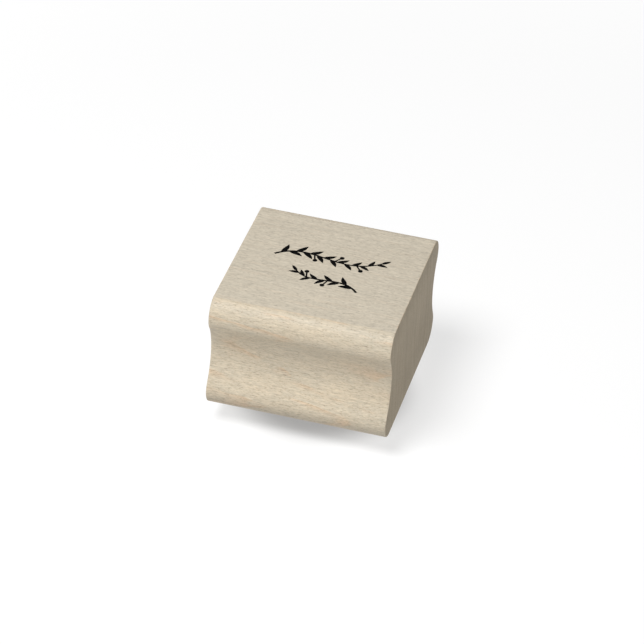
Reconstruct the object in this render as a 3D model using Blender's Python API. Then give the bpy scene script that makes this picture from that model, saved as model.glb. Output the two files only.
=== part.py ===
"""Wood-mounted rubber stamp with a botanical design, standing on its printing face.

Frame: metres, +Z up. The wood block is sawn from a moulding that runs along X, Y runs
across it, and the origin is the middle of the printing face, at z = 0.
Stack from the bottom up: engraved rubber die, adhesive film, foam cushion, adhesive
film, wood block. The five layers are glued to each other and none of them moves.
"""

import math

import bmesh
import bpy
from mathutils import Matrix, Vector
from mathutils.geometry import delaunay_2d_cdt

MM = 0.001

# Wood block: a 37.5 mm length of moulding, its section drawn from three arcs on each side
BLOCK_LENGTH = 37.5 * MM
BLOCK_HEIGHT = 25.5 * MM
FOOT_WIDTH = 40.0 * MM
FOOT_RADIUS = 3.85 * MM
WAIST_WIDTH = 34.5 * MM
COVE_RADIUS = 12.7 * MM
BEAD_WIDTH = 39.5 * MM
BEAD_RADIUS = 3.9 * MM
END_EASE = 0.3 * MM  # radius that the sawn ends' sharp edges are sanded to

# Layers under the block, all cut to one outline
DIE_LENGTH = 27.0 * MM
DIE_WIDTH = 18.0 * MM
DIE_CORNER = 1.5 * MM
RUBBER_THICKNESS = 2.3 * MM
ENGRAVING_DEPTH = 0.9 * MM
FILM_THICKNESS = 0.1 * MM
FOAM_THICKNESS = 1.6 * MM
LAYER_GAP = 0.05 * MM  # clearance that keeps glued layers separate solids
LAYERS = (  # from the bottom up: name, thickness, linear colour, roughness
    ("rubber_die", RUBBER_THICKNESS, (0.33, 0.045, 0.03), 0.65),
    ("die_adhesive", FILM_THICKNESS, (0.72, 0.70, 0.62), 0.35),
    ("foam_cushion", FOAM_THICKNESS, (0.55, 0.55, 0.53), 0.85),
    ("block_adhesive", FILM_THICKNESS, (0.72, 0.70, 0.62), 0.35),
    ("wood_block", BLOCK_HEIGHT, (0.63, 0.55, 0.41), 0.6),
)

# Printed design: two leafy sprigs, each on one cubic curve through four control points
STEM_START_WIDTH = 0.42 * MM
STEM_END_WIDTH = 0.24 * MM
LEAF_SPLAY = math.radians(40)
LEAF_SLENDERNESS = 0.31  # width over length
LEAF_CURL = 0.07  # sideways bow over length
STALK_WIDTH = 0.26 * MM
STALK_LENGTH = 1.7 * MM
STALK_SPLAY = math.radians(64)
BERRY_RADIUS = 0.45 * MM
FIRST_LEAF = 0.8  # place of the first leaf, counted in leaf spacings from the stem's start
BERRY_LAG = 1.65  # leaf spacings from a leaf to the berry that follows it on the same side
UPPER_SPRIG = {  # lengths and points in millimetres; berries follow the numbered leaves
    "curve": ((-11.4, 1.8), (-4.6, 8.2), (2.4, -1.6), (10.3, 5.3)),
    "leaves": 14,
    "longest_leaf": 3.2,
    "shortest_leaf": 2.2,
    "berries": (3, 6, 9),
}
LOWER_SPRIG = {
    "curve": ((7.8, -6.2), (3.7, -1.2), (-1.9, -6.9), (-5.6, -2.5)),
    "leaves": 9,
    "longest_leaf": 3.0,
    "shortest_leaf": 2.1,
    "berries": (2, 5),
}

# Facets on the round shapes
FOOT_STEPS = 11
COVE_STEPS = 9
BEAD_STEPS = 13
EASE_STEPS = 2
CORNER_STEPS = 6
STEM_STEPS = 28
LEAF_STEPS = 7
BERRY_STEPS = 12
SMOOTH_ANGLE = math.radians(30)

# Flat triangulation: keep only what lies inside the outlines, and merge closer points
CDT_INSIDE = 1
CDT_MERGE = 0.01 * MM


def angle_of(vector):
    return math.atan2(vector.y, vector.x)


def direction(angle):
    return Vector((math.cos(angle), math.sin(angle)))


def arc(centre, radius, start, end, steps):
    """Points from the start angle to the end angle about a centre, both ends included."""
    turn = (end - start) / steps
    return [centre + direction(start + turn * i) * radius for i in range(steps + 1)]


def corner_angle(adjacent, other, opposite):
    """Angle between two sides of a triangle, opposite its third side."""
    return math.acos((adjacent**2 + other**2 - opposite**2) / (2 * adjacent * other))


def block_section(inset):
    """The block's outline in (y, z), anticlockwise, moved inward by inset all round.

    On each side a rounded foot runs tangent into a cove, and the cove meets the
    bead under the top in a shallow crease.
    """
    foot = Vector((FOOT_WIDTH / 2 - FOOT_RADIUS, FOOT_RADIUS))
    cove_y = WAIST_WIDTH / 2 + COVE_RADIUS
    foot_to_cove = math.sqrt((FOOT_RADIUS + COVE_RADIUS) ** 2 - (cove_y - foot.x) ** 2)
    cove = Vector((cove_y, FOOT_RADIUS + foot_to_cove))
    bead = Vector((BEAD_WIDTH / 2 - BEAD_RADIUS, BLOCK_HEIGHT - BEAD_RADIUS))
    foot_radius = FOOT_RADIUS - inset
    cove_radius = COVE_RADIUS + inset
    bead_radius = BEAD_RADIUS - inset

    tangent = angle_of(cove - foot)
    between = (bead - cove).length
    crease_on_cove = angle_of(bead - cove) + corner_angle(cove_radius, between, bead_radius)
    crease_on_bead = angle_of(cove - bead) - corner_angle(bead_radius, between, cove_radius)
    right = arc(foot, foot_radius, -math.pi / 2, tangent, FOOT_STEPS)
    right += arc(cove, cove_radius, tangent + math.pi, crease_on_cove, COVE_STEPS)[1:]
    right += arc(bead, bead_radius, crease_on_bead, math.pi / 2, BEAD_STEPS)[1:]
    left = [Vector((-point.x, point.y)) for point in reversed(right)]
    return right + left


def rounded_rectangle(length, width, radius):
    """Outline in (x, y), anticlockwise, with its middle at the origin."""
    outline = []
    for quarter, (sign_x, sign_y) in enumerate(((1, 1), (-1, 1), (-1, -1), (1, -1))):
        centre = Vector((sign_x * (length / 2 - radius), sign_y * (width / 2 - radius)))
        start = quarter * math.pi / 2
        outline += arc(centre, radius, start, start + math.pi / 2, CORNER_STEPS)
    return outline


def bridge_rings(bm, rings):
    """Join rings of equally many vertices with quads, and cap the first and the last."""
    count = len(rings[0])
    for lower, upper in zip(rings, rings[1:]):
        for i in range(count):
            j = (i + 1) % count
            bm.faces.new((lower[i], lower[j], upper[j], upper[i]))
    bm.faces.new(reversed(rings[0]))
    bm.faces.new(rings[-1])


def block_mesh():
    """The section swept along X, drawn in over the last of each end by its eased edge."""
    bm = bmesh.new()
    stations = []
    for step in range(EASE_STEPS + 1):
        turn = math.pi / 2 * step / EASE_STEPS
        inset = END_EASE * (1 - math.sin(turn))
        stations.append((BLOCK_LENGTH / 2 - END_EASE * (1 - math.cos(turn)), inset))
    ends = [(-x, inset) for x, inset in stations] + stations[::-1]
    rings = []
    for x, inset in ends:
        rings.append([bm.verts.new((x, p.x, p.y)) for p in block_section(inset)])
    bridge_rings(bm, rings)
    return finish_mesh(bm, "wood_block")


def slab_mesh(name, thickness):
    """A flat layer cut to the die's outline, standing on z = 0."""
    bm = bmesh.new()
    outline = rounded_rectangle(DIE_LENGTH, DIE_WIDTH, DIE_CORNER)
    rings = [[bm.verts.new((p.x, p.y, z)) for p in outline] for z in (0, thickness)]
    bridge_rings(bm, rings)
    return finish_mesh(bm, name)


def curve_point(curve, s):
    a, b, c, d = (Vector(point) * MM for point in curve)
    r = 1 - s
    return a * r**3 + b * 3 * r * r * s + c * 3 * r * s * s + d * s**3


def curve_angle(curve, s):
    a, b, c, d = (Vector(point) * MM for point in curve)
    r = 1 - s
    return angle_of((b - a) * r * r + (c - b) * 2 * r * s + (d - c) * s * s)


def stem_outline(curve):
    """A ribbon along the curve that narrows towards its tip."""
    left, right = [], []
    for i in range(STEM_STEPS + 1):
        s = i / STEM_STEPS
        width = STEM_START_WIDTH + (STEM_END_WIDTH - STEM_START_WIDTH) * s
        across = direction(curve_angle(curve, s) + math.pi / 2) * width / 2
        left.append(curve_point(curve, s) + across)
        right.append(curve_point(curve, s) - across)
    return right + left[::-1]


def leaf_outline(base, angle, length, curl):
    """A leaf pointed at both ends, fullest in its inner half and bowed sideways by curl."""
    upper, lower = [], []
    for i in range(LEAF_STEPS + 1):
        s = i / LEAF_STEPS
        half_width = LEAF_SLENDERNESS * length / 2 * abs(math.sin(math.pi * s**0.8)) ** 0.85
        bow = curl * length * math.sin(math.pi * s)
        upper.append(Vector((s * length, bow + half_width)))
        lower.append(Vector((s * length, bow - half_width)))
    turn = Matrix.Rotation(angle, 2)
    return [base + turn @ point for point in lower + upper[-2:0:-1]]


def berry_outlines(base, angle):
    """A thin stalk and the round berry on its end."""
    along = direction(angle) * STALK_LENGTH
    across = direction(angle + math.pi / 2) * STALK_WIDTH / 2
    stalk = [base - across, base + along - across, base + along + across, base + across]
    middle = base + direction(angle) * (STALK_LENGTH + BERRY_RADIUS / 2)
    berry = arc(middle, BERRY_RADIUS, 0, 2 * math.pi, BERRY_STEPS)[:-1]
    return [stalk, berry]


def sprig_outlines(sprig):
    """Closed outlines of one sprig: stem, leaves on alternate sides, end leaf, berries."""
    curve = sprig["curve"]
    spacing = 1 / (sprig["leaves"] + FIRST_LEAF / 2)
    outlines = [stem_outline(curve)]
    for i in range(sprig["leaves"]):
        side = 1 if i % 2 == 0 else -1
        s = (i + FIRST_LEAF) * spacing
        length = sprig["longest_leaf"] + (sprig["shortest_leaf"] - sprig["longest_leaf"]) * s
        angle = curve_angle(curve, s) + side * LEAF_SPLAY
        base = curve_point(curve, s)
        outlines.append(leaf_outline(base, angle, length * MM, -side * LEAF_CURL))
        if i in sprig["berries"]:
            s = (i + FIRST_LEAF + BERRY_LAG) * spacing
            angle = curve_angle(curve, s) + side * STALK_SPLAY
            outlines += berry_outlines(curve_point(curve, s), angle)
    tip_angle = curve_angle(curve, 1)
    tip = curve_point(curve, 1) - direction(tip_angle) * STEM_END_WIDTH
    outlines.append(leaf_outline(tip, tip_angle, sprig["shortest_leaf"] * MM, 0))
    return outlines


def inside(point, outline):
    """Whether a point lies in a closed outline, by counting crossings of a ray along +X."""
    crossings = 0
    for start, end in zip(outline, outline[1:] + outline[:1]):
        if (start.y > point.y) != (end.y > point.y):
            t = (point.y - start.y) / (end.y - start.y)
            crossings += start.x + t * (end.x - start.x) > point.x
    return crossings % 2 == 1


def level_vertices(bm, points, triangles, z):
    """The vertices that a set of flat triangles needs at one height, by point number."""
    used = sorted({i for triangle in triangles for i in triangle})
    return {i: bm.verts.new((points[i].x, points[i].y, z)) for i in used}


def die_mesh():
    """Rubber plate with the design standing down from it to z = 0.

    One flat triangulation holds the plate's outline and every stroke's outline. Its
    triangles inside a stroke lie on the printing face and the others on the engraved
    floor. Walls join the two levels, and the plate's rim and flat back close the body.
    """
    rim = rounded_rectangle(DIE_LENGTH, DIE_WIDTH, DIE_CORNER)
    strokes = sprig_outlines(UPPER_SPRIG) + sprig_outlines(LOWER_SPRIG)
    points, edges = [], []
    for outline in [rim] + strokes:
        first, count = len(points), len(outline)
        points += outline
        edges += [(first + i, first + (i + 1) % count) for i in range(count)]
    triangulated = delaunay_2d_cdt(points, edges, [], CDT_INSIDE, CDT_MERGE, True)
    flat_points, _, triangles, sources = triangulated[:4]

    def is_printed(triangle):
        middle = sum((flat_points[i] for i in triangle), Vector((0, 0))) / 3
        return any(inside(middle, outline) for outline in strokes)

    printed = [triangle for triangle in triangles if is_printed(triangle)]
    engraved = [triangle for triangle in triangles if not is_printed(triangle)]
    bm = bmesh.new()
    face = level_vertices(bm, flat_points, printed, 0)
    floor = level_vertices(bm, flat_points, engraved, ENGRAVING_DEPTH)
    for level, level_triangles in ((face, printed), (floor, engraved)):
        for triangle in level_triangles:
            bm.faces.new([level[i] for i in triangle])

    printed_edges = {edge for t in printed for edge in zip(t, t[1:] + t[:1])}
    for start, end in sorted(printed_edges):
        if (end, start) not in printed_edges:
            bm.faces.new((face[start], face[end], floor[end], floor[start]))

    flat_index = {given: i for i, merged in enumerate(sources) for given in merged}
    floor_rim = [floor[flat_index[i]] for i in range(len(rim))]
    back_rim = [bm.verts.new((p.x, p.y, RUBBER_THICKNESS)) for p in rim]
    for i in range(len(rim)):
        j = (i + 1) % len(rim)
        bm.faces.new((floor_rim[i], floor_rim[j], back_rim[j], back_rim[i]))
    bm.faces.new(back_rim)
    return finish_mesh(bm, "rubber_die")


def finish_mesh(bm, name):
    """Turn the faces outward, split them into triangles and shade the round parts smooth."""
    bmesh.ops.recalc_face_normals(bm, faces=bm.faces)
    bmesh.ops.triangulate(bm, faces=bm.faces)
    mesh = bpy.data.meshes.new(name)
    bm.to_mesh(mesh)
    bm.free()
    mesh.shade_smooth()
    mesh.set_sharp_from_angle(angle=SMOOTH_ANGLE)
    return mesh


def material(name, colour, roughness):
    """A non-metal material with a linear RGB colour."""
    made = bpy.data.materials.new(name)
    made.use_nodes = True
    shader = made.node_tree.nodes["Principled BSDF"]
    shader.inputs["Base Color"].default_value = (*colour, 1)
    shader.inputs["Roughness"].default_value = roughness
    shader.inputs["Metallic"].default_value = 0
    made.diffuse_color = (*colour, 1)
    return made


def add_part(mesh, height, finish, parent):
    """Place a mesh as a named part standing at the given height."""
    part = bpy.data.objects.new(mesh.name, mesh)
    part.location = (0, 0, height)
    part.parent = parent
    part.data.materials.append(finish)
    bpy.context.scene.collection.objects.link(part)


def main():
    for old in list(bpy.data.objects):
        bpy.data.objects.remove(old, do_unlink=True)
    stamp = bpy.data.objects.new("stamp", None)
    bpy.context.scene.collection.objects.link(stamp)

    shaped = {"rubber_die": die_mesh(), "wood_block": block_mesh()}
    height = 0
    for name, thickness, colour, roughness in LAYERS:
        mesh = shaped[name] if name in shaped else slab_mesh(name, thickness)
        add_part(mesh, height, material(name, colour, roughness), stamp)
        height += thickness + LAYER_GAP


main()
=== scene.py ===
"""Looks for the wood-mounted rubber stamp: fine meshes, materials, light and camera.

Metres, in the CAD frame: +Z up, X along the moulding, Y across it, the user at -Y.
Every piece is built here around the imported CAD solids, which are all replaced.
"""

import math

import bmesh
import bpy
from mathutils import Matrix, Vector, noise
from mathutils.geometry import delaunay_2d_cdt


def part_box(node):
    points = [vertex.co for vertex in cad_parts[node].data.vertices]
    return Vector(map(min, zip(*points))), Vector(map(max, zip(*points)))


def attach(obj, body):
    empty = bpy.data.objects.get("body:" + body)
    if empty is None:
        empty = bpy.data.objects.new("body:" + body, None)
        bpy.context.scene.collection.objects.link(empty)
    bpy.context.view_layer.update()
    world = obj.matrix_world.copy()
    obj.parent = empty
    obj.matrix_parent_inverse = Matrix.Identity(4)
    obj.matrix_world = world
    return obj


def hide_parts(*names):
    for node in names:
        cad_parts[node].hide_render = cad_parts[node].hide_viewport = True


MM = 0.001

# Block section, as in the CAD: foot, cove and bead arcs on each side
FOOT_RADIUS = 3.85 * MM
WAIST_WIDTH = 34.5 * MM
COVE_RADIUS = 12.7 * MM
BEAD_WIDTH = 39.5 * MM
BEAD_RADIUS = 4.04 * MM
BEAD_DEPTH = 3.9 * MM  # of its centre below the top, which cuts the arc and leaves an edge
END_EASE = 0.22 * MM  # radius sanded on the sawn ends' edges
FLAT_MARGIN = 0.5 * MM  # strip beside an arc that keeps the flat beyond it truly flat

# Facets
ARC_STEP = math.radians(2.5)  # widest step of a section's arc
EASE_STEPS = 5
LENGTH_STEPS = 48
SMOOTH_ANGLE = math.radians(30)  # an edge that bends more than this stays sharp

# Printed design: two leafy sprigs, each on one cubic curve with four control points, in mm
STEM_START_WIDTH = 0.42 * MM
STEM_END_WIDTH = 0.24 * MM
LEAF_SPLAY = math.radians(40)
LEAF_SLENDERNESS = 0.31  # width over length
LEAF_LEAN = 0.8  # under 1 moves the fullest part towards the stem
LEAF_FULLNESS = 0.85  # under 1 makes the sides rounder
LEAF_POINT = 4  # the spread of a line fades over one part in so many at either end of a leaf
LEAF_CURL = 0.07  # sideways bow over length
STALK_WIDTH = 0.26 * MM
STALK_LENGTH = 1.7 * MM
STALK_SPLAY = math.radians(64)
BERRY_RADIUS = 0.45 * MM
FIRST_LEAF = 0.8  # place along the stem, in leaf spacings
BERRY_LAG = 1.65  # from a leaf to the berry beyond it, in leaf spacings
UPPER_SPRIG = {
    "curve": ((-11.4, 1.8), (-4.6, 8.2), (2.4, -1.6), (10.3, 5.3)),
    "leaves": 14,
    "longest_leaf": 3.2,
    "shortest_leaf": 2.2,
    "berries": (3, 6, 9),
}
LOWER_SPRIG = {
    "curve": ((7.8, -6.2), (3.7, -1.2), (-1.9, -6.9), (-5.6, -2.5)),
    "leaves": 9,
    "longest_leaf": 3.0,
    "shortest_leaf": 2.1,
    "berries": (2, 5),
}
STEM_STEPS = 64
LEAF_STEPS = 20
BERRY_STEPS = 32
CDT_MERGE = 0.005 * MM  # points closer than this become one
CDT_INSIDE = 1  # the kind of result wanted of delaunay_2d_cdt: triangles inside the outlines
INK_PROUD = 0.012 * MM
INK_SPREAD = 0.04 * MM  # how far the ink crept past the rubber's edges
INK_SUNK = 0.05 * MM

# Rubber, foam and films: cut by hand to one outline
DIE_CORNER = 1.5 * MM
CORNER_STEPS = 12
RIM_STEP = 0.3 * MM
CUT_WANDER = 0.07 * MM  # how far the blade strays
CUT_WANDER_PER_MM = 0.26
ROUGH_PER_MM = 1.7
RUBBER_ROUGH = 0.02 * MM
# Up the rubber's side: part of the height from the engraved floor to the top, and inset
RUBBER_SIDE = ((0.12, 0.03 * MM), (0.5, 0.05 * MM), (0.88, 0.03 * MM), (1.0, 0.0))
FOAM_ROUGH = 0.07 * MM
FOAM_EDGE = 0.02 * MM  # inset of the foam's top and bottom edges
FOAM_HOLLOW = 0.13 * MM  # how far its side sinks in between them
FOAM_HOLLOW_POWER = 0.7  # under 1 makes the hollow broader
FOAM_STEPS = 8
FILM_ROUGH = 0.08 * MM
FILM_INSET = 0.12 * MM
ENGRAVING_DEPTH = 0.9 * MM
# The raised lines' sides: how far out from the line, and the depth there
RELIEF_SHOULDERS = ((0.0, 0.0), (0.06 * MM, 0.45 * MM), (0.22 * MM, 0.9 * MM))

# Materials: colours in linear light
INK_BLACK = (0.002, 0.002, 0.002, 1)
INK_WORN = (0.05, 0.042, 0.036, 1)
RUBBER_RED = (0.32, 0.052, 0.036, 1)
RUBBER_DUSTY = (0.42, 0.125, 0.095, 1)
FOAM_WALL = (0.62, 0.62, 0.60, 1)
# Foam: its walls, and its sunken cells painted darker as shade
FOAM_CELL_SHADE = (0.52, 0.52, 0.515, 1)
FILM_DARK = (0.66, 0.62, 0.50, 1)
FILM_LIGHT = (0.74, 0.71, 0.61, 1)
MAPLE_COOL = (0.456, 0.404, 0.314, 1)
MAPLE_WARM = (0.494, 0.420, 0.312, 1)
MAPLE_RING = (0.500, 0.375, 0.255, 1)
MAPLE_SANDED = (0.478, 0.432, 0.352, 1)
MAPLE_END = (0.440, 0.370, 0.268, 1)
RING_SPACING = 2.1  # mm
RING_NORMAL = (0.06, 0.98, 0.14)  # across the growth rings
SCAN_LINES = 1.6  # of the laser, as the scale of a wave texture in mm

# Camera: a long lens, aimed a little above and beside the middle of the block's foot
CAMERA_AZIMUTH = math.radians(13.56)
CAMERA_ELEVATION = math.radians(35.74)
CAMERA_ROLL = math.radians(3.25)
CAMERA_DISTANCE = 644.55 * MM
CAMERA_ASIDE = -0.3 * MM
CAMERA_RISE = 9.9 * MM
CAMERA_LENS = 174.7
CAMERA_SENSOR = 36.0
CAMERA_NEAREST = 50 * MM  # anything closer is not drawn

# Studio: one large soft light above, a little to the front and left, over glowing paper
KEY_PLACE = (-0.22, -0.36, 0.80)
KEY_SIZE = 0.40
KEY_POWER = 9.6
KEY_TARGET = (0, 0, 0.015)
SKY_STRENGTH = 0.12
HORIZON_FADE = (0.055, 0.13)  # sines of the elevations between which white turns dim
FLOOR_SIZE = 6.0
FLOOR_ALBEDO = 0.26
FLOOR_GLOW = 0.72
FLOOR_GLOW_IN_PAINTED_SHADOW = 0.34  # dimmer glow where the stamp stands: a painted shadow, so that it looks set down on the paper
UNDER_EDGE = (0.013, 0.022)  # radii between which the one becomes the other
SWEEP_EDGE = (0.12, 0.45)  # radii between which the glow rises to full white


# ---------------------------------------------------------------- small geometry helpers


def angle_of(vector):
    return math.atan2(vector.y, vector.x)


def direction(angle):
    return Vector((math.cos(angle), math.sin(angle)))


def arc(centre, radius, start, end, steps):
    """Points from the start angle to the end angle about a centre, both ends included."""
    turn = (end - start) / steps
    return [centre + direction(start + turn * i) * radius for i in range(steps + 1)]


def fine_arc(centre, radius, start, end):
    return arc(centre, radius, start, end, math.ceil(abs(end - start) / ARC_STEP))


def corner_angle(adjacent, other, opposite):
    """Angle between two sides of a triangle, opposite its third side."""
    return math.acos((adjacent**2 + other**2 - opposite**2) / (2 * adjacent * other))


def rounded_rectangle(length, width, radius, steps):
    """Outline in (x, y), anticlockwise, with its middle at the origin."""
    outline = []
    for quarter, (sign_x, sign_y) in enumerate(((1, 1), (-1, 1), (-1, -1), (1, -1))):
        centre = Vector((sign_x * (length / 2 - radius), sign_y * (width / 2 - radius)))
        start = quarter * math.pi / 2
        outline += arc(centre, radius, start, start + math.pi / 2, steps)
    return outline


def add_piece(bm, name, finish, node=None):
    """Turn a bmesh into a named piece on the root body, in place of a CAD node if it's given."""
    bmesh.ops.recalc_face_normals(bm, faces=bm.faces)
    mesh = bpy.data.meshes.new(name)
    bm.to_mesh(mesh)
    bm.free()
    mesh.shade_smooth()
    mesh.set_sharp_from_angle(angle=SMOOTH_ANGLE)
    mesh.materials.append(finish)
    piece = bpy.data.objects.new(name, mesh)
    bpy.context.scene.collection.objects.link(piece)
    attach(piece, "root")
    if node:
        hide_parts(node)
    return piece


# ---------------------------------------------------------------- wood block


def half_section(inset, width, height):
    """The block's outline in (y, z) on the +Y side, bottom to top, moved inward by inset."""
    foot = Vector((width / 2 - FOOT_RADIUS, FOOT_RADIUS))
    cove_y = WAIST_WIDTH / 2 + COVE_RADIUS
    rise = math.sqrt((FOOT_RADIUS + COVE_RADIUS) ** 2 - (cove_y - foot.x) ** 2)
    cove = Vector((cove_y, FOOT_RADIUS + rise))
    bead = Vector((BEAD_WIDTH / 2 - BEAD_RADIUS, height - BEAD_DEPTH))
    foot_radius = FOOT_RADIUS - inset
    cove_radius = COVE_RADIUS + inset
    bead_radius = BEAD_RADIUS - inset
    tangent = angle_of(cove - foot)
    between = (bead - cove).length
    crease_on_cove = angle_of(bead - cove) + corner_angle(cove_radius, between, bead_radius)
    crease_on_bead = angle_of(cove - bead) - corner_angle(bead_radius, between, cove_radius)
    side = [Vector((foot.x - FLAT_MARGIN, inset))]
    side += fine_arc(foot, foot_radius, -math.pi / 2, tangent)
    side += fine_arc(cove, cove_radius, tangent + math.pi, crease_on_cove)[1:]
    trimmed = math.asin((height - inset - bead.y) / bead_radius)
    side += fine_arc(bead, bead_radius, crease_on_bead, trimmed)[1:]
    side.append(Vector((side[-1].x - FLAT_MARGIN, height - inset)))
    return side


def section_stations(length):
    """(x, inset) of each section along the block: closer together over the eased ends."""
    ease = []
    for step in range(EASE_STEPS + 1):
        turn = math.pi / 2 * step / EASE_STEPS
        ease.append((length / 2 - END_EASE * (1 - math.cos(turn)), END_EASE * (1 - math.sin(turn))))
    inner = length / 2 - END_EASE
    middle = [(inner - 2 * inner * i / LENGTH_STEPS, 0) for i in range(1, LENGTH_STEPS)]
    return ease + middle + [(-x, inset) for x, inset in reversed(ease)]


def build_block(finish):
    """The section swept along X; "worn" marks the vertices on the ends' eased edges, lightened as
    wear and painted highlight.
    """
    low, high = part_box("wood_block")
    length, width, height = high - low
    bm = bmesh.new()
    worn = bm.verts.layers.float.new("worn")
    rings = []
    for x, inset in section_stations(length):
        side = half_section(inset, width, height)
        outline = side + [Vector((-p.x, p.y)) for p in reversed(side)]
        ring = [bm.verts.new((x, p.x, low.z + p.y)) for p in outline]
        for vert in ring:
            vert[worn] = 1.0 if 0 < inset < END_EASE else 0.0
        rings.append(ring)
    count = len(rings[0])
    for ring, following in zip(rings, rings[1:]):
        for i in range(count):
            j = (i + 1) % count
            bm.faces.new((ring[i], ring[j], following[j], following[i]))
    for ring in (rings[0], rings[-1]):
        for i in range(count // 2 - 1):
            bm.faces.new((ring[i], ring[i + 1], ring[count - 2 - i], ring[count - 1 - i]))
    add_piece(bm, "maple_block", finish, "wood_block")


# ---------------------------------------------------------------- leafy design


def curve_point(curve, s):
    """Place on a cubic curve in metres, with s from 0 at its start to 1 at its end."""
    a, b, c, d = (Vector(point) * MM for point in curve)
    r = 1 - s
    return a * r**3 + b * 3 * r * r * s + c * 3 * r * s * s + d * s**3


def curve_angle(curve, s):
    """Which way the curve runs there."""
    a, b, c, d = (Vector(point) * MM for point in curve)
    r = 1 - s
    return angle_of((b - a) * r * r + (c - b) * 2 * r * s + (d - c) * s * s)


def stem_outline(curve, grow):
    """A ribbon along the curve that narrows towards its tip, widened by grow all round."""
    left, right = [], []
    for i in range(STEM_STEPS + 1):
        s = i / STEM_STEPS
        half_width = (STEM_START_WIDTH + (STEM_END_WIDTH - STEM_START_WIDTH) * s) / 2 + grow
        across = direction(curve_angle(curve, s) + math.pi / 2) * half_width
        middle = curve_point(curve, s)
        if i == 0:
            middle -= direction(curve_angle(curve, 0)) * grow
        left.append(middle + across)
        right.append(middle - across)
    return right + left[::-1]


def leaf_outline(base, angle, length, curl, grow):
    """A leaf pointed at both ends, fullest in its inner half and bowed sideways by curl."""
    upper, lower = [], []
    for i in range(LEAF_STEPS + 1):
        s = i / LEAF_STEPS
        swell = abs(math.sin(math.pi * s**LEAF_LEAN)) ** LEAF_FULLNESS
        half_width = LEAF_SLENDERNESS * length / 2 * swell
        half_width += grow * min(1, LEAF_POINT * s, LEAF_POINT * (1 - s))
        bow = curl * length * math.sin(math.pi * s)
        along = s * (length + grow)
        upper.append(Vector((along, bow + half_width)))
        lower.append(Vector((along, bow - half_width)))
    turn = Matrix.Rotation(angle, 2)
    return [base + turn @ point for point in lower + upper[-2:0:-1]]


def berry_outlines(base, angle, grow):
    """A thin stalk and the round berry on its end."""
    along = direction(angle) * STALK_LENGTH
    across = direction(angle + math.pi / 2) * (STALK_WIDTH / 2 + grow)
    stalk = [base - across, base + along - across, base + along + across, base + across]
    middle = base + direction(angle) * (STALK_LENGTH + BERRY_RADIUS / 2)
    return [stalk, arc(middle, BERRY_RADIUS + grow, 0, 2 * math.pi, BERRY_STEPS)[:-1]]


def sprig_outlines(sprig, grow):
    """Closed outlines of one sprig: stem, leaves on alternate sides, berries, end leaf."""
    curve = sprig["curve"]
    spacing = 1 / (sprig["leaves"] + FIRST_LEAF / 2)
    outlines = [stem_outline(curve, grow)]
    for i in range(sprig["leaves"]):
        side = 1 if i % 2 == 0 else -1
        s = (i + FIRST_LEAF) * spacing
        length = sprig["longest_leaf"] + (sprig["shortest_leaf"] - sprig["longest_leaf"]) * s
        angle = curve_angle(curve, s) + side * LEAF_SPLAY
        base = curve_point(curve, s)
        outlines.append(leaf_outline(base, angle, length * MM, -side * LEAF_CURL, grow))
        if i in sprig["berries"]:
            s = (i + FIRST_LEAF + BERRY_LAG) * spacing
            angle = curve_angle(curve, s) + side * STALK_SPLAY
            outlines += berry_outlines(curve_point(curve, s), angle, grow)
    tip_angle = curve_angle(curve, 1)
    tip = curve_point(curve, 1) - direction(tip_angle) * STEM_END_WIDTH
    outlines.append(leaf_outline(tip, tip_angle, sprig["shortest_leaf"] * MM, 0, grow))
    return outlines


def inside(point, outline):
    """Whether a point lies in a closed outline, by counting crossings of a ray along +X."""
    crossings = 0
    for start, end in zip(outline, outline[1:] + outline[:1]):
        if (start.y > point.y) != (end.y > point.y):
            t = (point.y - start.y) / (end.y - start.y)
            crossings += start.x + t * (end.x - start.x) > point.x
    return crossings % 2 == 1


def boxed(outlines):
    """Each outline with its bounding box, so that most points are ruled out quickly."""
    made = []
    for outline in outlines:
        xs, ys = [p.x for p in outline], [p.y for p in outline]
        made.append((min(xs), max(xs), min(ys), max(ys), outline))
    return made


def in_any(point, boxes):
    return any(
        x0 < point.x < x1 and y0 < point.y < y1 and inside(point, outline)
        for x0, x1, y0, y1, outline in boxes
    )


def design_outlines(grow):
    """Both sprigs, with every line widened by grow all round."""
    return sprig_outlines(UPPER_SPRIG, grow) + sprig_outlines(LOWER_SPRIG, grow)


def triangulate_outlines(outlines):
    """Flat triangulation that keeps every outline as edges.

    Returns its points, its triangles, and where each point of the outlines went.
    """
    points, edges = [], []
    for outline in outlines:
        first, count = len(points), len(outline)
        points += outline
        edges += [(first + i, first + (i + 1) % count) for i in range(count)]
    made = delaunay_2d_cdt(points, edges, [], CDT_INSIDE, CDT_MERGE, True)
    places = {old: new for new, olds in enumerate(made[3]) for old in olds}
    return made[0], made[2], places


def middle_of(points, triangle):
    return sum((points[i] for i in triangle), Vector((0, 0))) / 3


def build_print(finish):
    """The index print: a film of ink over the design, just proud of the wood."""
    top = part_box("wood_block")[1].z
    strokes = design_outlines(INK_SPREAD)
    points, triangles, _ = triangulate_outlines(strokes)
    boxes = boxed(strokes)
    bm = bmesh.new()
    upper = {}
    lower = {}
    edges = set()

    def vertex(level, i, z):
        if i not in level:
            level[i] = bm.verts.new((points[i].x, points[i].y, z))
        return level[i]

    for t in triangles:
        if in_any(middle_of(points, t), boxes):
            bm.faces.new([vertex(upper, i, top + INK_PROUD) for i in t])
            bm.faces.new([vertex(lower, i, top - INK_SUNK) for i in reversed(t)])
            edges.update(zip(t, t[1:] + t[:1]))
    for start, end in sorted(edges):
        if (end, start) not in edges:
            bm.faces.new((upper[start], lower[start], lower[end], upper[end]))
    add_piece(bm, "index_print", finish)


# ---------------------------------------------------------------- rubber, foam, films


def uneven(x, y, z, per_mm, seed):
    """Smooth noise from 0 to 1 at a place, the same on every run."""
    scale = per_mm / MM
    return 0.5 + 0.5 * noise.noise(Vector((x * scale + seed, y * scale, z * scale)))


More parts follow.
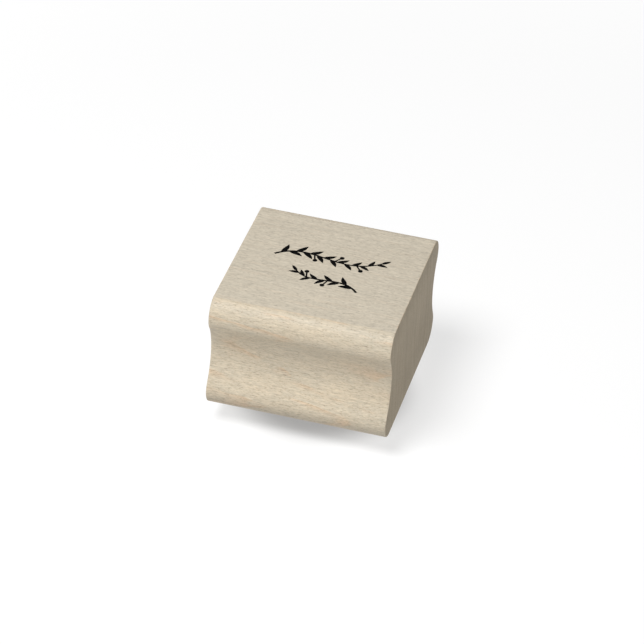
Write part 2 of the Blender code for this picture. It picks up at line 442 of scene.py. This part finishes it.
def hand_cut_outline(node, seed):
    """The layer's rim in small steps, each point with its inward direction: a list of pairs.

    A blade wanders a little along each straight side, always inside the nominal outline.
    """
    low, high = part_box(node)
    corners = rounded_rectangle(high.x - low.x, high.y - low.y, DIE_CORNER, CORNER_STEPS)
    rim = []
    for start, end in zip(corners, corners[1:] + corners[:1]):
        count = max(1, round((end - start).length / RIM_STEP))
        rim += [start.lerp(end, i / count) for i in range(count)]
    pairs = []
    for before, point, after in zip(rim[-1:] + rim, rim, rim[1:] + rim[:1]):
        along = (after - before).normalized()
        inward = Vector((-along.y, along.x))
        wander = uneven(point.x, point.y, 0, CUT_WANDER_PER_MM, seed)
        pairs.append((point + inward * CUT_WANDER * wander, inward))
    return pairs


def wall_rings(bm, rim, low_z, high_z, profile, roughness, seed):
    """Rings of vertices up the layer's side; profile has (part of height, inset) pairs."""
    rings = []
    for part, inset in profile:
        z = low_z + (high_z - low_z) * part
        ring = []
        for point, inward in rim:
            rough = uneven(point.x, point.y, z, ROUGH_PER_MM, seed)
            moved = point + inward * (inset + roughness * rough)
            ring.append(bm.verts.new((moved.x, moved.y, z)))
        rings.append(ring)
    return rings


def bridge(bm, rings):
    """Faces between each ring of vertices and the next."""
    for lower, upper in zip(rings, rings[1:]):
        for i in range(len(lower)):
            j = (i + 1) % len(lower)
            bm.faces.new((lower[i], lower[j], upper[j], upper[i]))


def layer_mesh(node, low_z, high_z, profile, roughness, seed):
    """A flat layer between two others, cut to the outline of its CAD node."""
    bm = bmesh.new()
    rim = hand_cut_outline(node, seed)
    rings = wall_rings(bm, rim, low_z, high_z, profile, roughness, seed)
    bridge(bm, rings)
    bm.faces.new(reversed(rings[0]))
    bm.faces.new(rings[-1])
    return bm


def build_film(name, finish, node, low_z, high_z, seed):
    """One adhesive film, set in a little from the layers that it holds together."""
    straight = ((0, FILM_INSET), (1, FILM_INSET))
    bm = layer_mesh(node, low_z, high_z, straight, FILM_ROUGH, seed)
    add_piece(bm, name, finish, node)


def build_foam(finish, low_z, high_z, seed):
    """The cushion, its sides a little hollow between the two films that hold it."""
    side = []
    for i in range(FOAM_STEPS + 1):
        sink = math.sin(math.pi * i / FOAM_STEPS) ** FOAM_HOLLOW_POWER
        side.append((i / FOAM_STEPS, FOAM_EDGE + FOAM_HOLLOW * sink))
    bm = layer_mesh("foam_cushion", low_z, high_z, side, FOAM_ROUGH, seed)
    foam = add_piece(bm, "foam_pad", finish, "foam_cushion")


def build_rubber(finish, high_z, seed):
    """The engraved die: raised design on sloping shoulders over a laser-cut floor."""
    low_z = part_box("rubber_die")[0].z
    rim = hand_cut_outline("rubber_die", seed)
    outlines = [[point for point, _ in rim]]
    shoulders = []
    for grow, z in RELIEF_SHOULDERS:
        outlines += design_outlines(grow)
        widened = design_outlines(grow + CDT_MERGE * 2)
        shoulders.append((boxed(widened), z))
    points, triangles, places = triangulate_outlines(outlines)

    bm = bmesh.new()
    verts = []
    for point in points:
        z = next((z for boxes, z in shoulders if in_any(point, boxes)), ENGRAVING_DEPTH)
        verts.append(bm.verts.new((point.x, point.y, low_z + z)))
    for triangle in triangles:
        if inside(middle_of(points, triangle), outlines[0]):
            bm.faces.new([verts[i] for i in reversed(triangle)])
    floor_z = low_z + ENGRAVING_DEPTH
    rings = wall_rings(bm, rim, floor_z, high_z, RUBBER_SIDE, RUBBER_ROUGH, seed)
    bridge(bm, [[verts[places[i]] for i in range(len(rim))]] + rings)
    bm.faces.new(rings[-1])
    loose = [v for v in bm.verts if not v.link_faces]
    bmesh.ops.delete(bm, geom=loose, context="VERTS")
    add_piece(bm, "rubber_plate", finish, "rubber_die")


def build_underside():
    """Rubber, foam and the two films: each fills the clearance to its neighbours."""
    rubber_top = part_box("rubber_die")[1].z
    foam_low, foam_high = (corner.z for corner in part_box("foam_cushion"))
    block_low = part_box("wood_block")[0].z
    build_rubber(rubber_finish(), rubber_top, seed=1.0)
    tape = tape_finish()
    build_film("die_tape", tape, "die_adhesive", rubber_top, foam_low, seed=4.0)
    build_foam(foam_finish(), foam_low, foam_high, seed=7.0)
    build_film("block_tape", tape, "block_adhesive", foam_high, block_low, seed=9.0)


# ---------------------------------------------------------------- materials


# The numbers inside each finish are its look: textures per mm, thresholds from 0 to 1,
# and weights. The odd whole numbers shift one noise away from the others.


class Finish:
    """A procedural material being made: each method adds nodes and returns their output."""

    def __init__(self, name, specular):
        self.material = bpy.data.materials.new(name)
        self.material.use_nodes = True
        self.tree = self.material.node_tree
        self.shader = self.tree.nodes["Principled BSDF"]
        self.shader.inputs["Specular IOR Level"].default_value = specular
        self.coordinates = self.add("ShaderNodeTexCoord")

    def feed(self, socket, value):
        """Link a node's output to a socket, or set the socket to a plain value."""
        if isinstance(value, bpy.types.NodeSocket):
            self.tree.links.new(value, socket)
        else:
            socket.default_value = value

    def add(self, kind, inputs=(), **settings):
        """A new node with its settings made and its inputs fed, by name or by number."""
        node = self.tree.nodes.new(kind)
        for key, value in settings.items():
            setattr(node, key, value)
        for key, value in dict(inputs).items():
            self.feed(node.inputs[key], value)
        return node

    def maths(self, operation, *values):
        return self.add("ShaderNodeMath", enumerate(values), operation=operation).outputs[0]

    def per_mm(self, x, y, z, shift=0.0, turn=(0, 0, 0)):
        """Object coordinates scaled to so many units per millimetre along each axis."""
        mapping = {
            "Vector": self.coordinates.outputs["Object"],
            "Location": (shift, shift, shift),
            "Rotation": turn,
            "Scale": (x / MM, y / MM, z / MM),
        }
        return self.add("ShaderNodeMapping", mapping).outputs[0]

    def noise(self, place, detail, roughness=0.5, distortion=0.0):
        settings = {"Vector": place, "Scale": 1.0, "Detail": detail}
        settings |= {"Roughness": roughness, "Distortion": distortion}
        return self.add("ShaderNodeTexNoise", settings).outputs[0]

    def line_noise(self, value, detail):
        """Noise that depends on one number only."""
        settings = {"W": value, "Scale": 1.0, "Detail": detail}
        return self.add("ShaderNodeTexNoise", settings, noise_dimensions="1D").outputs[0]

    def cells(self, place, feature="F1"):
        """Distance to the nearest of many scattered points."""
        settings = {"Vector": place, "Scale": 1.0}
        return self.add("ShaderNodeTexVoronoi", settings, feature=feature).outputs[0]

    def step(self, value, low, high, to_low=0.0, to_high=1.0):
        """Smooth change from to_low to to_high while the value goes from low to high."""
        settings = {"Value": value, "From Min": low, "From Max": high}
        settings |= {"To Min": to_low, "To Max": to_high}
        node = self.add("ShaderNodeMapRange", settings, interpolation_type="SMOOTHSTEP")
        return node.outputs[0]

    def tally(self, start, *terms):
        """start, plus weight * (value - 0.5) for each (value, weight)."""
        total = start - sum(weight for _, weight in terms) / 2
        for value, weight in terms:
            total = self.maths("MULTIPLY_ADD", value, weight, total)
        return total

    def blend(self, factor, first, second):
        """Mix of two colours, which are sockets 6 and 7 of a Mix node."""
        colours = {0: factor, 6: first, 7: second}
        return self.add("ShaderNodeMix", colours, data_type="RGBA").outputs[2]

    def between(self, factor, first, second):
        """Mix of two numbers, which are sockets 2 and 3 of a Mix node."""
        return self.add("ShaderNodeMix", {0: factor, 2: first, 3: second}).outputs[0]

    def tint(self, colour, tone):
        """A colour made lighter or darker by a number."""
        inputs = {0: colour, "Scale": tone}
        return self.add("ShaderNodeVectorMath", inputs, operation="SCALE").outputs[0]

    def facing(self, axis):
        """How squarely the surface faces along one axis of the object, either way."""
        normal = self.coordinates.outputs["Normal"]
        split = self.add("ShaderNodeSeparateXYZ", {"Vector": normal})
        return self.maths("ABSOLUTE", split.outputs[axis])

    def height(self):
        """Z in the object's frame, in mm."""
        split = self.add("ShaderNodeSeparateXYZ", {"Vector": self.per_mm(1, 1, 1)})
        return split.outputs["Z"]

    def finish(self, colour, roughness, relief, depth):
        """Connect the results: relief is in units of depth, which is in metres."""
        bump = self.add("ShaderNodeBump", {"Height": relief, "Distance": depth})
        self.feed(self.shader.inputs["Base Color"], colour)
        self.feed(self.shader.inputs["Roughness"], roughness)
        self.feed(self.shader.inputs["Normal"], bump.outputs["Normal"])
        return self.material


def growth_rings(f):
    """Depth through the growth rings in mm, and a thin line where each ring ends."""
    across = {0: f.per_mm(1, 1, 1), 1: RING_NORMAL}
    depth = f.add("ShaderNodeVectorMath", across, operation="DOT_PRODUCT").outputs["Value"]
    sweep = f.noise(f.per_mm(0.018, 0.07, 0.07), 1)
    ripple = f.noise(f.per_mm(0.16, 0.5, 0.5, 7), 2)
    depth = f.tally(1.5, (sweep, 5.0), (ripple, 0.5), (depth, 1.0))
    widths = f.line_noise(f.maths("MULTIPLY", depth, 0.35), 1)
    ring = f.tally(0.0, (depth, 1 / RING_SPACING), (widths, 1.6))
    saw = f.maths("FRACT", ring)
    rise = f.step(saw, 0.62, 0.95)
    fall = f.step(saw, 0.95, 1.0, 1.0, 0.0)
    return depth, f.maths("MULTIPLY", rise, fall)


def maple_long_grain(f, band, blotch):
    """Tone and relief of the top, front and back, which the fibres run along.

    Spindles are the short dark ends of rays, weaker on the flat top. Painted shade darkens
    the foot over its lowest few millimetres, as in the photo.
    """
    on_front = f.step(f.facing("Y"), 0.3, 0.9)
    streak = f.noise(f.per_mm(0.13, 1.9, 2.4), 3, 0.65, 0.2)
    line = f.noise(f.per_mm(0.42, 3.4, 4.4, 47), 1, 0.5, 0.3)
    dash = f.noise(f.per_mm(1.1, 3.9, 5.2, 41), 1, 0.5, 0.3)
    fibre = f.noise(f.per_mm(0.6, 7.0, 7.0, 3), 2, 0.6)
    ray = f.noise(f.per_mm(0.85, 0.12, 3.3, 5), 2, 0.6, 0.6)
    ray_on_front = f.maths("MULTIPLY", f.step(ray, 0.52, 0.68), on_front)
    pore = f.step(f.noise(f.per_mm(0.75, 5.5, 5.5, 17), 1, 0.4), 0.59, 0.66)
    spindle = f.step(f.cells(f.per_mm(1.3, 1.6, 5.4, 61)), 0.10, 0.38, 1.0, 0.0)
    spindle = f.maths("MULTIPLY", spindle, f.step(f.facing("Z"), 0.80, 0.99, 1.0, 0.5))
    thread = f.noise(f.per_mm(0.07, 3.2, 3.2, 67), 2, 0.6, 0.2)
    # Painted shade: the wood darkens over the foot's lowest few millimetres
    foot_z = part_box("wood_block")[0].z / MM
    foot_painted_shade = f.step(f.height(), foot_z + 0.4, foot_z + 5.0, 1.0, 0.0)
    tone = f.tally(
        0.728,
        (band, 0.12),
        (streak, 0.10),
        (line, 0.30),
        (dash, 0.40),
        (fibre, 0.50),
        (spindle, -0.27),
        (thread, 0.24),
        (blotch, 0.10),
        (ray_on_front, -0.10),
        (pore, -0.17),
        (foot_painted_shade, -0.22),
    )
    relief = f.tally(0.0, (fibre, 0.6), (dash, 0.8), (pore, -0.6), (ray_on_front, -0.5))
    return tone, relief, streak, fibre, spindle


def maple_end_grain(f, band, blotch, ring_line):
    """Tone and relief of the sawn ends: rings, rays, cut vessels and the saw's marks."""
    vessel = f.step(f.cells(f.per_mm(0.2, 5.0, 5.0)), 0.16, 0.34)
    ray = f.step(f.noise(f.per_mm(0.4, 0.45, 5.5, 43), 2, 0.6), 0.50, 0.66)
    fuzz = f.noise(f.per_mm(1.0, 5.0, 3.2, 53), 3, 0.7)
    saw_mark = f.noise(f.per_mm(0.0, 4.0, 0.15, 9, (math.radians(4), 0, 0)), 3, 0.6)
    tone = f.tally(
        0.80,
        (band, 0.22),
        (blotch, 0.14),
        (vessel, 0.20),
        (ray, 0.06),
        (fuzz, 0.48),
        (saw_mark, 0.14),
        (ring_line, -0.07),
    )
    return tone, f.tally(0.0, (vessel, 1.2), (fuzz, 1.0), (saw_mark, 2.0))


def maple_colour(f, on_end, on_top, ring_line, spindle):
    """Cool and warm patches, warmer ring lines and rays, and paler sanded or sawn faces."""
    warmth = f.noise(f.per_mm(0.09, 0.25, 0.25, 23), 3, 0.6)
    speckle = f.noise(f.per_mm(0.5, 1.6, 1.6, 29), 2, 0.6)
    warm = f.step(f.tally(0.5, (warmth, 1.0), (speckle, 0.6)), 0.15, 0.85)
    colour = f.blend(warm, MAPLE_COOL, MAPLE_WARM)
    broken = f.step(f.noise(f.per_mm(0.12, 0.4, 0.4, 37), 2), 0.40, 0.62)
    broken_line = f.maths("MULTIPLY", ring_line, broken)
    for seen, weight, shade in (
        (broken_line, 0.75, MAPLE_RING),
        (spindle, 0.4, MAPLE_RING),
        (on_top, 0.75, MAPLE_SANDED),
        (on_end, 0.8, MAPLE_END),
    ):
        colour = f.blend(f.maths("MULTIPLY", seen, weight), colour, shade)
    return colour


def maple_finish():
    """Pale maple as solid wood: grain along X, growth rings nearly square to Y."""
    f = Finish("maple", 0.38)
    on_end = f.step(f.facing("X"), 0.5, 0.9)
    on_top = f.step(f.facing("Z"), 0.97, 0.998)
    depth, ring_line = growth_rings(f)
    band = f.line_noise(f.maths("MULTIPLY", depth, 0.8), 3)
    blotch = f.noise(f.per_mm(0.07, 0.12, 0.12, 11), 2)
    long_tone, long_relief, streak, fibre, spindle = maple_long_grain(f, band, blotch)
    end_tone, end_relief = maple_end_grain(f, band, blotch, ring_line)

    # Worn edges and a painted highlight: the ends' eased edges are made lighter in patches
    worn = f.add("ShaderNodeAttribute", attribute_name="worn").outputs["Fac"]
    patchy = f.step(f.noise(f.per_mm(0.35, 0.35, 0.35, 59), 3, 0.6), 0.35, 0.6)
    worn = f.maths("MULTIPLY", worn, patchy)
    tone = f.maths("MULTIPLY_ADD", worn, 0.06, f.between(on_end, long_tone, end_tone))
    colour = f.tint(maple_colour(f, on_end, on_top, ring_line, spindle), tone)
    roughness = f.tally(0.78, (streak, 0.2), (fibre, 0.2), (on_end, 0.3), (on_top, 0.16))
    relief = f.between(on_end, long_relief, end_relief)
    return f.finish(colour, roughness, relief, 0.02 * MM)


def ink_finish():
    """Black ink that has sunk into the wood: the grain shows faintly through it."""
    f = Finish("ink", 0.08)
    fibre = f.noise(f.per_mm(0.6, 7.0, 7.0, 3), 3, 0.6)
    worn = f.step(f.noise(f.per_mm(1.5, 9.0, 9.0, 31), 2, 0.6), 0.62, 0.80)
    colour = f.blend(f.maths("MULTIPLY", worn, 0.2), INK_BLACK, INK_WORN)
    return f.finish(colour, f.tally(0.6, (fibre, 0.4)), fibre, 0.01 * MM)


def rubber_finish():
    """Brick-red laser rubber: a smooth face, a scanned floor and knife-cut sides."""
    f = Finish("laser_rubber", 0.35)
    engraved = f.step(f.height(), 0.05, 0.5)
    on_floor = f.maths("MULTIPLY", engraved, f.step(f.facing("Z"), 0.8, 0.97))
    scan = f.add("ShaderNodeTexWave", {"Vector": f.per_mm(0, 1, 0), "Scale": SCAN_LINES})
    scan.bands_direction = "Y"
    scan_line = f.maths("MULTIPLY", scan.outputs["Fac"], on_floor)
    grain = f.noise(f.per_mm(7, 7, 7), 3, 0.6)
    cloud = f.noise(f.per_mm(0.3, 0.3, 0.3, 5), 3, 0.6)
    cut = f.noise(f.per_mm(5, 5, 0.4, 9), 2, 0.6)
    cut = f.maths("MULTIPLY", cut, f.step(f.facing("Z"), 0.5, 0.2))
    tone = f.tally(1.0, (grain, 0.30), (cloud, 0.35), (scan_line, -0.12), (cut, 0.3))
    colour = f.blend(f.maths("MULTIPLY", on_floor, 0.45), RUBBER_RED, RUBBER_DUSTY)
    relief = f.tally(0.0, (grain, 0.5), (scan_line, 0.8), (cut, 1.5))
    roughness = f.tally(0.6, (grain, 0.2), (on_floor, 0.2))
    return f.finish(f.tint(colour, tone), roughness, relief, 0.03 * MM)


def foam_finish():
    """Pale grey closed-cell foam: small round cells, cut open along the sides, with painted shade
    in their hollows.
    """
    f = Finish("foam", 0.3)
    # Painted shade: the sunken cells and the larger dimples are darker than the walls
    wall = f.cells(f.per_mm(4.5, 4.5, 4.5), "DISTANCE_TO_EDGE")
    cell = f.step(wall, 0.03, 0.28)
    large = f.step(f.cells(f.per_mm(2.0, 2.0, 2.0)), 0.12, 0.42)
    cloud = f.noise(f.per_mm(0.25, 0.25, 0.25), 3, 0.6)
    tone = f.tally(1.0, (cell, -0.22), (large, 0.18), (cloud, 0.15))
    colour = f.tint(f.blend(cell, FOAM_WALL, FOAM_CELL_SHADE), tone)
    relief = f.tally(0.5, (cell, -1.0), (large, 0.8))
    return f.finish(colour, f.tally(0.85, (cell, 0.1)), relief, 0.06 * MM)


def tape_finish():
    """Clear adhesive film, a little yellow, with tiny trapped bubbles."""
    f = Finish("adhesive_film", 0.5)
    bubble = f.step(f.cells(f.per_mm(1.6, 1.6, 1.6)), 0.08, 0.22)
    haze = f.noise(f.per_mm(0.8, 0.8, 6.0), 3, 0.6)
    colour = f.blend(haze, FILM_DARK, FILM_LIGHT)
    tone = f.tally(1.0, (bubble, 0.12), (haze, 0.15))
    relief = f.tally(0.5, (bubble, 0.6), (haze, 0.5))
    return f.finish(f.tint(colour, tone), f.tally(0.32, (haze, 0.25)), relief, 0.02 * MM)


# ---------------------------------------------------------------- studio


def build_camera():
    """Its place is measured from the middle of the foot, along its own three axes."""
    foot_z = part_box("wood_block")[0].z
    level = math.cos(CAMERA_ELEVATION)
    back_x = math.sin(CAMERA_AZIMUTH) * level
    back_y = -math.cos(CAMERA_AZIMUTH) * level
    back = Vector((back_x, back_y, math.sin(CAMERA_ELEVATION)))
    right = Vector((math.cos(CAMERA_AZIMUTH), math.sin(CAMERA_AZIMUTH), 0))
    up = back.cross(right)
    place = back * CAMERA_DISTANCE + right * CAMERA_ASIDE + up * CAMERA_RISE
    place.z += foot_z
    cos_roll, sin_roll = math.cos(CAMERA_ROLL), math.sin(CAMERA_ROLL)
    turn = Matrix((right * cos_roll + up * sin_roll, up * cos_roll - right * sin_roll, back))
    data = bpy.data.cameras.new("camera")
    data.lens = CAMERA_LENS
    data.sensor_width = CAMERA_SENSOR
    data.clip_start = CAMERA_NEAREST
    camera = bpy.data.objects.new("camera", data)
    camera.matrix_world = Matrix.Translation(place) @ turn.transposed().to_4x4()
    bpy.context.scene.collection.objects.link(camera)
    bpy.context.scene.camera = camera


def build_key_light():
    data = bpy.data.lights.new("key", "AREA")
    data.shape = "DISK"
    data.size = KEY_SIZE
    data.energy = KEY_POWER
    light = bpy.data.objects.new("key", data)
    light.location = KEY_PLACE
    aim = Vector(KEY_TARGET) - Vector(KEY_PLACE)
    light.rotation_euler = aim.to_track_quat("-Z", "Y").to_euler()
    bpy.context.scene.collection.objects.link(light)


def build_sky():
    """White at the horizon, so that low views have a plain backdrop, and dim above it."""
    world = bpy.data.worlds.new("studio")
    world.use_nodes = True
    tree = world.node_tree
    looking = tree.nodes.new("ShaderNodeTexCoord")
    split = tree.nodes.new("ShaderNodeSeparateXYZ")
    fade = tree.nodes.new("ShaderNodeMapRange")
    tree.links.new(looking.outputs["Generated"], split.inputs[0])
    tree.links.new(split.outputs["Z"], fade.inputs["Value"])
    tree.links.new(fade.outputs[0], tree.nodes["Background"].inputs["Strength"])
    fade.inputs["From Min"].default_value = HORIZON_FADE[0]
    fade.inputs["From Max"].default_value = HORIZON_FADE[1]
    fade.inputs["To Min"].default_value = 1.0
    fade.inputs["To Max"].default_value = SKY_STRENGTH
    tree.nodes["Background"].inputs["Color"].default_value = (1, 1, 1, 1)
    bpy.context.scene.world = world


def floor_finish():
    """White paper that glows a little, more so far from the stamp, like a lit sweep; the dimmer
    glow under the stamp is a painted shadow.
    """
    f = Finish("floor_paper", 0.1)
    flat = f.per_mm(MM, MM, 0)
    radius = f.add("ShaderNodeVectorMath", {0: flat}, operation="LENGTH").outputs["Value"]
    # Painted shadow: the paper glows less where the stamp stands
    beside = f.step(radius, *UNDER_EDGE, FLOOR_GLOW_IN_PAINTED_SHADOW, FLOOR_GLOW)
    beyond = f.step(radius, *SWEEP_EDGE, 0.0, 1.0 - FLOOR_GLOW)
    glow = f.maths("ADD", beside, beyond)
    f.feed(f.shader.inputs["Emission Strength"], glow)
    f.feed(f.shader.inputs["Emission Color"], (1, 1, 1, 1))
    grain = f.noise(f.per_mm(1.5, 1.5, 1.5), 3, 0.6)
    colour = f.tint((FLOOR_ALBEDO, FLOOR_ALBEDO, FLOOR_ALBEDO), f.tally(1.0, (grain, 0.02)))
    return f.finish(colour, 0.9, grain, 0.01 * MM)


def build_floor():
    bm = bmesh.new()
    half = FLOOR_SIZE / 2
    corners = ((-half, -half), (half, -half), (half, half), (-half, half))
    bm.faces.new([bm.verts.new((x, y, 0)) for x, y in corners])
    mesh = bpy.data.meshes.new("floor")
    bm.to_mesh(mesh)
    bm.free()
    mesh.materials.append(floor_finish())
    floor = bpy.data.objects.new("floor", mesh)
    bpy.context.scene.collection.objects.link(floor)


def build_studio():
    bpy.context.scene.view_settings.view_transform = "Standard"
    build_sky()
    build_floor()
    build_key_light()


# ---------------------------------------------------------------- assembly

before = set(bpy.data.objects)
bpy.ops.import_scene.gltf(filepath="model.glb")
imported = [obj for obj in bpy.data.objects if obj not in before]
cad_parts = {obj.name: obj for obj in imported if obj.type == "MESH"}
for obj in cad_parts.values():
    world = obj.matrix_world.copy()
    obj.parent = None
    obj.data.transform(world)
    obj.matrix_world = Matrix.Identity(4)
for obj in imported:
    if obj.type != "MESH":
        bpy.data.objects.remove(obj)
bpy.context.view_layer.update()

build_camera()
build_studio()
build_block(maple_finish())
build_print(ink_finish())
build_underside()
